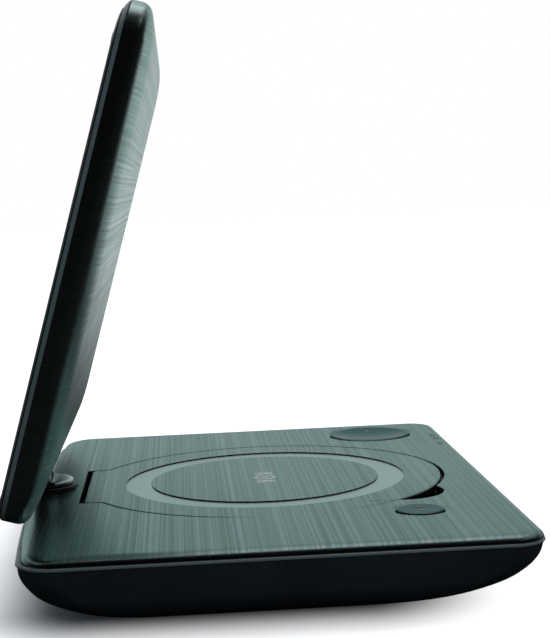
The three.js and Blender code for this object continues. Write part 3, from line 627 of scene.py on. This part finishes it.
def lower_shell():
    rows = catmull(HULL, 5)

    def ring(row, grow=0.0, z=None):
        z0, s, f, r, rf, rr = row
        P = plan(-HW + s + grow, HW - s - grow, YF + f + grow, YR - r - grow, max(3, rf - grow), max(3, rr - grow), 16, 14)
        return flat(bowed(P, YR - r, SBOW), z0 if z is None else z)

    top = rows[-1]
    lip = [(-4.15, 0.02), (-3.98, -0.10), (-3.9, -0.38), (-3.75, -0.5), (-3.4, -0.5), (-3.05, -0.42), (-2.85, -0.1)]
    outer = loft([ring(r) for r in rows] + [ring((z, g, g, g, 11.8, 13.5)) for z, g in lip])
    inner_rows = [(r, SHELL) for r, SHELL in [(x, 1.8) for x in rows]]
    inn = [ring((max(r[0] + 1.2, -25.3), r[1], r[2], r[3], r[4], r[5]), 1.8) for r in rows[2:-1]]
    inn.append(ring((-3.4, 0.1, 0.1, 0.1, 12, 13.5), 1.8))
    inn.append(ring((1.0, 0.1, 0.1, 0.1, 12, 13.5), 1.8))
    # strictly rising z for the inside
    zs = -25.3
    for k, r in enumerate(inn):
        z = max(r[0][2], zs + 0.02 * (k > 0))
        r[:, 2] = z
        zs = z
    inner = loft(inn)
    lob = [(0, -13.5), (4, -13.35), (7, -12.9), (9.5, -12.1), (11.7, -11.0), (13.6, -9.4), (15.0, -7.6), (16.0, -5.8), (16.4, -4.6), (16.42, -4.15), (16.6, -3.98), (16.88, -3.9), (17.0, -3.75), (17.0, -3.4), (16.92, -3.05), (16.6, -2.85), (0, -2.85)]
    ob = plus(outer, turned(0, SW_Y, lob, 96))
    ob = minus(ob, inner, turned(0, SW_Y, [(0, -10.8), (9, -10.4), (12.4, -8.4), (13.8, -6.5), (14.6, -4.4), (14.6, 1), (0, 1)], 64))
    lim = both(loft([ring(r, 0.55) for r in rows]), box(-130, 130, -100, 120, -30, -9.4))
    posts = gather(*[turned(x, y, [(0, -27.0), (3.6, -27.0), (3.6, -9.4), (0, -9.4)], 32) for x, y in [(62, -68), (-62, -68), (88, 66), (-88, 66)]])
    ob = plus(ob, both(posts, lim))
    wall = both(box(113.4, 119.0, -45, -19.5, -13.6, -4.6), loft([ring(r, 0.6) for r in rows]))
    ob = plus(ob, wall)
    P4 = [(62, -68, -17), (-62, -68, -17), (88, 66, -22.5), (-88, 66, -22.5)]
    for x, y, z in P4:
        ob = minus(ob, turned(x, y, [(0, -29.37), (2.93, -29.37), (2.91, z), (1.6, z + 0.01), (1.58, -8.87), (0, -8.87)], 30))
    ob = minus(
        ob,
        gather(*[turned(x, y, [(0, -30), (6.5, -30), (6.5, -27.2), (6.3, -27.0), (6.3, -26.5), (0, -26.5)], 64) for x, y in [(80, 52), (-80, 52), (80, -20), (-80, -20)]]),
        gather(*[rod_x(108, 125, y, -8.6, r, 40) for y, r in [(60, 4.2), (45, 3.3), (32, 3.3)]]),
        gather(box_yz(108, 125, 17, 7.1, -8.6, 3.2, 0.5), box_yz(108, 125, -7, 13.1, -8.8, 2.2, 0.7)),
        box_yz(117.4, 125, -32.5, 10, -8.6, 2.8, 1.2), box_yz(108, 118, -32.75, 7.25, -8.6, 1.2, 0.4),
    )

    # The lip and the band above it get the light slate colour: painted reflection on the up-facing lip.
    def pick(c, n):
        if -4.0 < c.z < -2.8 and n.z > -0.3:
            return 1
        if c.z > -4.02:
            return 1
        return 0

    paint(ob, [M_SHELL, M_RIM_SHEEN], pick)
    return finish_piece(ob, "lower_shell_skin", to_base, "base", ["base_lower_shell"], angle=30)


def box_yz(x0, x1, yc, hy, zc, hz, r):
    """block along X with rounded corners in the YZ plane"""
    P = plan(yc - hy, yc + hy, zc - hz, zc + hz, r, r, 5, 1)
    return loft([np.stack([np.full(len(P), x), P[:, 0], P[:, 1]], 1) for x in (x0, x1)])


# ==================================================================== disc door
def disc_door():
    o = lambda g: door_outline(DOOR_R - g, TAB_HW - g, TAB_Y - g, 4 + g * 0.5, 1.0, slim=0.95)
    ob = loft([flat(o(0.3), -2.1), flat(o(0.05), -1.9), flat(o(0.0), -0.72), flat(o(0.05), -0.48), flat(o(0.18), -0.25), flat(o(0.4), -0.09), flat(o(0.66), -0.015), flat(o(0.9), 0.0)])
    ears = gather(*[rbox(s * 23 - 3, s * 23 + 3, 67.4, 71.0, -2.6, -1, 0.3) for s in (-1, 1)])
    ob = plus(ob, ears, gather(rod_x(-26, -20, 69.3, -2.3, 2.25, 32, 0.2), rod_x(20, 26, 69.3, -2.3, 2.25, 32, 0.2)),
              box(-4.2, 4.2, -69.2, -67.6, -4.6, -1.6))
    # ring groove: walls with a soft lower edge
    ring = ringbody(0, 0, [(45.7, 1), (45.7, -0.36), (45.9, -0.45), (56.0, -0.45), (56.2, -0.36), (56.2, 1)], 200)
    ob = minus(ob, rod_x(-27, 27, 69.3, -2.3, 1.3, 24),
               gather(box(-20.3, 20.3, 67.5, 75, -4, -1.05), box(-36, -25.7, 67.5, 75, -4, -1.05), box(25.7, 36, 67.5, 75, -4, -1.05)), ring)

    # The ring groove's side walls and the door's underside get the near-black plastic: painted shade for the groove's
    # dark lines, dark plastic beneath.
    def pick(c, n):
        r = math.hypot(c.x, c.y)
        if 45.5 < r < 56.4 and -0.46 < c.z < -0.44 and n.z > 0.5:
            return 1
        if c.z > -0.5:
            return 0 if not (45.6 < r < 56.3 and c.z < -0.02 and abs(n.z) < 0.9) else 2
        return 2

    paint(ob, [M_BRUSH, M_RING, M_BLACK_AND_SHADE], pick)
    return finish_piece(ob, "disc_door_panel", to_base, "door", ["disc_door"], angle=25)


# ======================================================================== keys
def keys():
    prof = [(0, -4.2), (20, -4.2), (20, -3.3), (18.2, -3.3), (18.2, -0.35), (18.1, -0.05), (17.8, 0.16), (17.3, 0.25), (16.6, 0.22)]
    for k in range(1, 13):
        r = 16.6 * (1 - k / 12)
        prof.append((r, 0.22 - 1.25 * (1 - (r / 16.6) ** 2)))
    dk = turned(DPAD[0], DPAD[1], prof, 128)
    paint(dk, [M_BRUSHKEY])
    finish_piece(dk, "dpad_cap", to_base, "dpad", ["dpad_key"], angle=35)
    prof = [(0, -4.2), (10, -4.2), (10, -3.3), (8.6, -3.3), (8.6, -0.3), (8.5, -0.02), (8.25, 0.17), (7.9, 0.24), (6, 0.2), (3, 0.13), (0, 0.1)]
    pk = turned(PLAY[0], PLAY[1], prof, 96)
    paint(pk, [M_BRUSHKEY])
    finish_piece(pk, "play_cap", to_base, "play", ["play_key"], angle=35)

    def dish(r):
        return 0.22 - 1.25 * (1 - (r / 16.6) ** 2)

    def mark(name, polys, cx, cy, zf, body, mat, up=0.035, down=0.12):
        parts = []
        for P in polys:
            P = np.array(P, float) + (cx, cy)
            z = zf(P)
            parts.append(loft([np.c_[P, z - down], np.c_[P, z + up]]))
        ob = gather(*parts)
        fixnormals(ob)
        paint(ob, [mat])
        return finish_piece(ob, name, to_base, body, angle=30)

    tri = lambda x, y, s, d: [(x - s * d, y - s), (x + s * d, y), (x - s * d, y + s)] if d > 0 else [(x - s * d, y + s), (x + s * d, y), (x - s * d, y - s)]
    bar = lambda x, y, w, h: [(x - w, y - h), (x + w, y - h), (x + w, y + h), (x - w, y + h)]
    zf = lambda P: dish(np.hypot(P[:, 0] - DPAD[0], P[:, 1] - DPAD[1]))
    polys = []
    # skip marks left and right, stop and menu marks above and below, all plain symbols
    for s in (-1, 1):
        polys += [tri(12.2 * s, 0, 1.3, s), tri(10.1 * s, 0, 1.3, s)]
    polys += [bar(0, 12.0, 1.1, 1.1), bar(0, -12.6, 1.6, 0.28), bar(0, -11.4, 1.6, 0.28)]
    mark("dpad_symbols", polys, DPAD[0], DPAD[1], zf, "dpad", M_MARKD)
    pz = lambda P: np.full(len(P), 0.135)
    mark("play_symbol", [tri(-1.6, 0, 1.7, 1), bar(1.5, 0, 0.33, 1.7), bar(2.9, 0, 0.33, 1.7)], PLAY[0], PLAY[1], pz, "play", M_MARKD, up=0.05, down=0.1)
    # generic mark on the door centre: two arcs around a dot, and a small bar by the rim
    def arcband(r0, r1, a0, a1, n=18):
        t = np.radians(np.linspace(a0, a1, n))
        return [(r0 * math.cos(a), r0 * math.sin(a)) for a in t] + [(r1 * math.cos(a), r1 * math.sin(a)) for a in t[::-1]]

    dz = lambda P: np.zeros(len(P))
    polys = [[tuple(p) for p in circle(0, 0, 1.5, 24)], arcband(3.1, 4.4, 12, 168)[::-1], arcband(3.1, 4.4, 192, 348)[::-1]]
    for s in (-1, 1):
        polys += [bar(7.2 * s, 0, 1.1, 3.6), bar(9.9 * s, 0, 0.55, 3.6)]
    mark("door_centre_symbol", polys, 0, 0, dz, "door", M_MARK, up=0.02, down=0.08)
    mark("door_rim_symbol", [bar(0, 0.6, 0.9, 2.2), [(-1.9, 1.9 - 4.2), (0, -4.0), (1.9, 1.9 - 4.2)]], -55.3, -38.3, dz, "door", M_MARKD, up=0.02, down=0.08)


M_BRUSHKEY = satin_metal("key_lacquer", (0.066, 0.092, 0.094), (0.078, 0.106, 0.108), 0.27, (0.40, 0.50, 0.50))


# =================================================================== swivel
def swivel():
    tt = turned(0, SW_Y, [(0, -4.6), (7.6, -4.6), (7.6, -0.35), (12.6, -0.35), (12.8, -0.2), (12.8, 1.1), (12.7, 1.45), (12.4, 1.75), (12.0, 1.88), (11.6, 1.9), (0, 1.9)], 128)
    paint(tt, [M_BLACK_AND_SHADE])
    finish_piece(tt, "turntable_plate", to_base, "swivel", ["turntable"], angle=35)
    tw = turned(0, SW_Y, [(0, 2.2), (11.6, 2.2), (11.9, 2.45), (11.9, 3.1), (11.7, 3.5), (11.1, 3.85), (10.0, 4.1), (8.4, 4.28), (0, 4.3)], 96)
    tw = plus(tw, rod_x(-9.2, 9.2, SW_Y, AX_Z, 4.8, 64, 0.35))
    tw = minus(tw, rod_x(-12, 12, SW_Y, AX_Z, 2.0, 32),
               gather(box(9.3, 30, SW_Y - 5.2, SW_Y + 5.2, 2.6, 20), box(-30, -9.3, SW_Y - 5.2, SW_Y + 5.2, 2.6, 20)))
    paint(tw, [M_HINGE])
    finish_piece(tw, "tower_casting", to_base, "swivel", ["hinge_tower"], angle=30)


# ======================================================================= lid
LID_T, HALF = 13.0, 6.5
LV0, LV1 = 2.4, 177.6
EDGE = [(0.0, -0.4), (0.12, 0.8), (0.45, 1.75), (1.3, 2.9), (2.7, 3.8), (4.6, 4.45), (8.2, 5.35), (13.0, 6.05), (19.5, 6.5)]


def lid_ring(d, b, top=0.0):
    return flat(plan(-120 + d, 120 - d, LV0 + d, LV1 - d - top, max(5.0, 14 - 0.5 * d), max(5.0, 12 - 0.4 * d), 16, 10), b)


def lid_back():
    low = [(0.3, -5.4, 2.55), (0.06, -5.25, 2.3), (0.0, -4.9, 1.75), (0.0, -4.4, 1.0), (0.0, -3.9, 0.42), (0.0, -3.3, 0.17), (0.0, -2.6, 0.03)]
    ob = loft([lid_ring(d, b, t) for d, b, t in low] + [lid_ring(d, b) for d, b in catmull(EDGE, 4)])
    inner = loft([lid_ring(1.8, -7, 2.6), lid_ring(1.8, -5.0, 2.0), lid_ring(1.8, -3.9, 0.5), lid_ring(1.8, 0.2), lid_ring(2.6, 1.3), lid_ring(5.2, 2.8), lid_ring(10, 3.9), lid_ring(16, 4.7)])
    inner = minus(inner, box(-23.5, 23.5, -20, 15.1, -20, 20))
    cutter = rbox(-22, 22, -30, 13.6, -20, 20, 1.6)
    slots = gather(box(10.8, 20.8, 12.6, 16.6, -1.4, 1.4), box(-20.8, -10.8, 12.6, 16.6, -1.4, 1.4))
    ob = minus(ob, inner, cutter, slots)

    # Index 1, light slate on the rim band by the bezel, is painted reflection; index 2, the near-black plastic on the
    # inside and the hinge cut-out walls, is partly painted shade.
    def pick(c, n):
        if c.z < -3.85 and (abs(c.x) > 119.0 or c.y > 174.6 or c.y < 3.4 or (abs(c.x) > 105 and n.dot(Vector((c.x, (c.y - 90) * 1.3, 0))) > 0)):
            return 1
        inside = n.dot(Vector((c.x, (c.y - 90) * 1.3, 0))) < 0 and c.z < 4.8 and abs(n.z) < 0.9
        if abs(c.x) < 23 and c.y < 15 and abs(n.z) < 0.6:
            return 2
        if n.z < -0.2 and c.z < 5:
            return 2
        if inside and abs(c.x) < 118.5 and 4.0 < c.y < 176.1:
            return 2
        return 0

    paint(ob, [M_BRUSH_LID_LIT, M_RIM_SHEEN, M_BLACK_AND_SHADE], pick)
    return finish_piece(ob, "lid_back_skin", to_lid, "lid", ["lid_back_shell"], angle=30)


PADS = [(108, 164), (-108, 164), (108, 9), (-108, 9)]


def lid_front():
    rows = [(1.5, -6.5, 5.4), (1.1, -6.46, 5.1), (0.75, -6.36, 4.75), (0.45, -6.2, 4.3), (0.22, -6.0, 3.75), (0.12, -5.8, 3.2), (0.25, -5.7, 3.0)]
    ob = loft([lid_ring(d, b, t) for d, b, t in rows])
    ob = plus(ob, minus(loft([lid_ring(2.2, -6.0, 3.6), lid_ring(2.2, -4.9, 2.4)]), box(-23.8, 23.8, -20, 15.4, -20, 20)))
    win = lambda g: flat(plan(-101.5 - g, 101.5 + g, 45 - g, 161 + g, 1.2, 1.2, 6, 2), 0)[:, :2]
    cutw = loft([flat(win(0.9), -8), flat(win(0.9), -6.5), flat(win(0.25), -6.05), flat(win(0), -5.85), flat(win(0), -3)])
    slots = []
    for s in (-1, 1):
        for k in range(7):
            slots.append(rbox(s * 76 - 14, s * 76 + 14, 13.4 + 3.4 * k, 14.6 + 3.4 * k, -9, -3, 0.55, 5))
    pads = gather(*[turned(x, y, [(0, -9), (3.5, -9), (3.5, -6.5), (3.3, -6.3), (3.3, -5.8), (0, -5.8)], 48) for x, y in PADS])
    ob = minus(ob, rbox(-22, 22, -30, 13.6, -20, 20, 1.6), cutw, gather(*slots), pads)
    # The bezel's outer side band gets the light slate colour: painted reflection on the rim.
    rim = lambda c, n: 1 if (-6.3 < c.z < -5.65 and abs(n.z) < 0.75 and (abs(c.x) > 117.5 or c.y > 168 or c.y < 5 or (abs(c.x) > 104 and (c.y > 160 or c.y < 16)))) else 0
    paint(ob, [M_BEZEL, M_RIM_SHEEN], rim)
    finish_piece(ob, "bezel_frame", to_lid, "lid", ["lid_bezel"], angle=30)
    w = rbox(-101.2, 101.2, 45.3, 160.7, -6.2, -5.0, 1.0, 6, 0.15)
    paint(w, [M_SCREEN])
    finish_piece(w, "window_pane", to_lid, "lid", ["screen_window"], angle=30)
    names = ["lid_bumper_top_right", "lid_bumper_top_left", "lid_bumper_low_right", "lid_bumper_low_left"]
    for (x, y), n in zip(PADS, names):
        b = turned(x, y, [(0, -7.2), (1.6, -7.18), (2.4, -7.05), (2.85, -6.8), (3.0, -6.5), (3.0, -6.1), (0, -6.1)], 48)
        paint(b, [M_RUBBER])
        finish_piece(b, n + "_pad", to_lid, "lid", [n], angle=40)


# ============================================================== feet and screws
def feet():
    for x, y, n in [(80, 52, "foot_rear_right"), (-80, 52, "foot_rear_left"), (80, -20, "foot_front_right"), (-80, -20, "foot_front_left")]:
        f = turned(x, y, [(0, -28.5), (4.6, -28.5), (5.3, -28.4), (5.8, -28.0), (6.0, -27.5), (6.0, -26.8), (0, -26.8)], 64)
        paint(f, [M_RUBBER])
        finish_piece(f, n + "_pad", to_base, "base", [n], angle=40)
    for x, y, z, n in [(62, -68, -17, "base_screw_front_right"), (-62, -68, -17, "base_screw_front_left"), (88, 66, -22.5, "base_screw_rear_right"), (-88, 66, -22.5, "base_screw_rear_left")]:
        s = turned(x, y, [(0, z - 1.6), (1.6, z - 1.55), (2.2, z - 1.35), (2.5, z - 1.0), (2.5, z - 0.3), (1.25, z - 0.3), (1.25, -5.6), (0.7, -4.6), (0, -4.6)], 32)
        s = minus(s, gather(box(x - 1.5, x + 1.5, y - 0.32, y + 0.32, z - 2, z - 0.9)), box(x - 0.32, x + 0.32, y - 1.5, y + 1.5, z - 2, z - 0.9))
        paint(s, [M_STEEL])
        finish_piece(s, n + "_head", to_base, "base", [n], angle=30)


top_cover()
lower_shell()
disc_door()
keys()
swivel()
lid_back()
lid_front()
feet()

# ------------------------------------------------- carried-over nodes' materials
CARRY = {
    "battery_pack": M_FOIL, "main_pcb": M_PCB, "dc_jack": M_BLACK_AND_SHADE, "av_jack": M_BLACK_AND_SHADE, "headphone_jack": M_BLACK_AND_SHADE,
    "usb_port": M_ZINC, "card_slot": M_ZINC, "drive_deck": M_ZINC, "deck_damper_right": M_RUBBER, "deck_damper_left": M_RUBBER,
    "deck_damper_rear": M_RUBBER, "spindle_motor": M_ZINC, "spindle_shaft": M_STEEL, "disc_hub": M_BEZEL, "guide_rod_right": M_STEEL,
    "guide_rod_left": M_STEEL, "pickup_sled": M_BLACK_AND_SHADE, "objective_lens": M_LENS, "lead_screw": M_STEEL, "sled_motor": M_ZINC,
    "door_pin": M_STEEL, "dpad_rubber_dome": M_RUBBER, "play_rubber_dome": M_RUBBER, "dpad_switch_board": M_PCB, "play_switch_board": M_PCB,
    "light_pipe_1": M_MARKD, "light_pipe_2": M_MARKD, "light_pipe_3": M_MARKD, "power_slider": M_BEZEL, "swivel_retainer": M_STEEL,
    "hinge_pin": M_STEEL, "lcd_panel": M_ZINC, "lid_pcb": M_PCB, "speaker_right": M_BLACK_AND_SHADE, "speaker_left": M_BLACK_AND_SHADE,
    "hinge_bracket_right": M_HINGE, "hinge_bracket_left": M_HINGE,
}
for n, m in CARRY.items():
    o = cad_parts[n]
    o.data.materials.clear()
    o.data.materials.append(m)

# ================================================================ floor and light
floor = raw([(-6, -6, 0), (6, -6, 0), (6, 6, 0), (-6, 6, 0)], [(0, 1, 2, 3)], "floor")
fm = bpy.data.materials.new("floor_pale")
fm.use_nodes = True
nt = fm.node_tree
nt.nodes.clear()


def nd(kind, **kw):
    x = nt.nodes.new(kind)
    for k, v in kw.items():
        setattr(x, k, v)
    return x


def maprange(src, a0, a1, b0, b1, smooth=True):
    m = nd("ShaderNodeMapRange")
    if smooth:
        m.interpolation_type = "SMOOTHSTEP"
    for k, v in zip(("From Min", "From Max", "To Min", "To Max"), (a0, a1, b0, b1)):
        m.inputs[k].default_value = v
    nt.links.new(src, m.inputs["Value"])
    return m.outputs[0]


def mth(op, a, b=0.0):
    m = nd("ShaderNodeMath", operation=op)
    for i, v in enumerate((a, b)):
        if isinstance(v, (int, float)):
            m.inputs[i].default_value = v
        else:
            nt.links.new(v, m.inputs[i])
    return m.outputs[0]


fo = nd("ShaderNodeOutputMaterial")
geo = nd("ShaderNodeNewGeometry")
sep = nd("ShaderNodeSeparateXYZ")
nt.links.new(geo.outputs["Position"], sep.inputs[0])
# Painted contact shadow: for camera rays the floor is white emission that fades to nothing near the base's rest
# footprint, over a bluish lamp-lit diffuse floor.
ax_ = mth("SUBTRACT", mth("ABSOLUTE", sep.outputs["X"]), 0.078)
ay_ = mth("SUBTRACT", mth("ABSOLUTE", mth("SUBTRACT", sep.outputs["Y"], 0.012)), 0.048)
dist = mth("SQRT", mth("ADD", mth("POWER", mth("MAXIMUM", ax_, 0.0), 2.0), mth("POWER", mth("MAXIMUM", ay_, 0.0), 2.0)))
painted_shadow_ramp = maprange(dist, 0.010, 0.057, 0.0, 1.0)
em = nd("ShaderNodeEmission")
em.inputs[0].default_value = (1, 1, 1, 1)
nt.links.new(painted_shadow_ramp, em.inputs[1])
d1 = nd("ShaderNodeBsdfDiffuse")
d1.inputs[0].default_value = (0.36, 0.40, 0.47, 1)
add = nd("ShaderNodeAddShader")
nt.links.new(em.outputs[0], add.inputs[0])
nt.links.new(d1.outputs[0], add.inputs[1])
# Painted floor for all other rays: near black towards -X and emitting towards +X, as painted reflections and bounce
# light on the object.
d2 = nd("ShaderNodeBsdfDiffuse")
painted_floor_albedo = maprange(sep.outputs["X"], 0.12, 0.75, 0.02, 0.9)
cmb = nd("ShaderNodeCombineColor")
for k in range(3):
    nt.links.new(painted_floor_albedo, cmb.inputs[k])
nt.links.new(cmb.outputs[0], d2.inputs[0])
painted_floor_glow = nd("ShaderNodeEmission")
painted_floor_glow.inputs[0].default_value = (0.97, 1.0, 1.0, 1)
nt.links.new(maprange(sep.outputs["X"], 0.25, 1.5, 0.0, 0.9), painted_floor_glow.inputs[1])
add2 = nd("ShaderNodeAddShader")
nt.links.new(d2.outputs[0], add2.inputs[0])
nt.links.new(painted_floor_glow.outputs[0], add2.inputs[1])
lp = nd("ShaderNodeLightPath")
mx = nd("ShaderNodeMixShader")
nt.links.new(lp.outputs["Is Camera Ray"], mx.inputs[0])
nt.links.new(add2.outputs[0], mx.inputs[1])
nt.links.new(add.outputs[0], mx.inputs[2])
nt.links.new(mx.outputs[0], fo.inputs[0])
floor.data.materials.append(fm)
floor.name = "floor"

world = bpy.data.worlds.new("studio")
SCN.world = world
world.use_nodes = True
nt = world.node_tree
nt.nodes.clear()
wo = nd("ShaderNodeOutputWorld")
b_cam = nd("ShaderNodeBackground")
b_cam.inputs[0].default_value = (1, 1, 1, 1)
b_cam.inputs[1].default_value = 1.0
b_env = nd("ShaderNodeBackground")
tc = nd("ShaderNodeTexCoord")
sp = nd("ShaderNodeSeparateXYZ")
nt.links.new(tc.outputs["Generated"], sp.inputs[0])
side = maprange(sp.outputs["X"], 0.12, 0.99, 0.0, 1.06)
over = mth("MULTIPLY", maprange(sp.outputs["Z"], 0.35, 0.9, 0.0, 0.75), maprange(sp.outputs["X"], -0.32, 0.12, 0.0, 1.0))
nt.links.new(mth("ADD", mth("MAXIMUM", side, over), 0.004), b_env.inputs[1])
b_env.inputs[0].default_value = (0.98, 1.0, 1.0, 1)
lpw = nd("ShaderNodeLightPath")
mxw = nd("ShaderNodeMixShader")
nt.links.new(lpw.outputs["Is Camera Ray"], mxw.inputs[0])
nt.links.new(b_env.outputs[0], mxw.inputs[1])
nt.links.new(b_cam.outputs[0], mxw.inputs[2])
nt.links.new(mxw.outputs[0], wo.inputs[0])


def area(name, loc, target, size, power, color=(1, 1, 1)):
    l = bpy.data.lights.new(name, "AREA")
    l.shape = "RECTANGLE"
    l.size, l.size_y = size
    l.energy = power
    l.color = color
    o = bpy.data.objects.new(name, l)
    SCN.collection.objects.link(o)
    o.location = loc
    o.rotation_euler = (Vector(target) - Vector(loc)).to_track_quat("-Z", "Y").to_euler()
    return o


area("key_top", (0.45, -0.1, 1.5), (0.05, 0, 0.05), (1.5, 1.5), 5)
fill = area("side_fill", (-1.2, -0.3, 0.6), (0, 0, 0.08), (0.8, 0.8), 2.6, (0.86, 0.95, 1.0))
fill.visible_glossy = False
for fn, floc in (("front_fill", (-0.6, -1.2, 0.5)), ("rear_fill", (-0.6, 1.3, 0.5))):
    side_l = area(fn, floc, (0, 0, 0.03), (0.6, 0.6), 1.6, (0.88, 0.96, 1.0))
    side_l.visible_glossy = False
area("glint", (-0.75, -0.9, 1.1), (0, 0, 0.15), (0.12, 0.12), 0.35)

# ====================================================================== camera
cam = bpy.data.cameras.new("camera")
cam_ob = bpy.data.objects.new("camera", cam)
SCN.collection.objects.link(cam_ob)
yaw, pitch, roll = math.radians(-3.49300838), math.radians(5.13458309), math.radians(-2.23317766)
F = Vector((math.cos(yaw) * math.cos(pitch), math.sin(yaw) * math.cos(pitch), -math.sin(pitch)))
R0 = F.cross(Vector((0, 0, 1))).normalized()
U0 = R0.cross(F)
Rv = math.cos(roll) * R0 + math.sin(roll) * U0
Uv = -math.sin(roll) * R0 + math.cos(roll) * U0
rot = Matrix((Rv, Uv, -F)).transposed()
cam_ob.matrix_world = Matrix.Translation(Vector((-0.59875, 0.03144 - OFF_Y * 0.001, 0.11812 + OFF_Z * 0.001))) @ rot.to_4x4()
cam.sensor_width = 36.0
cam.sensor_fit = "AUTO"
cam.lens = 1499.76 / 638 * 36.0
cam.shift_x = (275 - 271.246) / 638
cam.clip_start = 0.01
cam.clip_end = 50
SCN.camera = cam_ob
SCN.view_settings.view_transform = "Standard"
SCN.view_settings.look = "None"
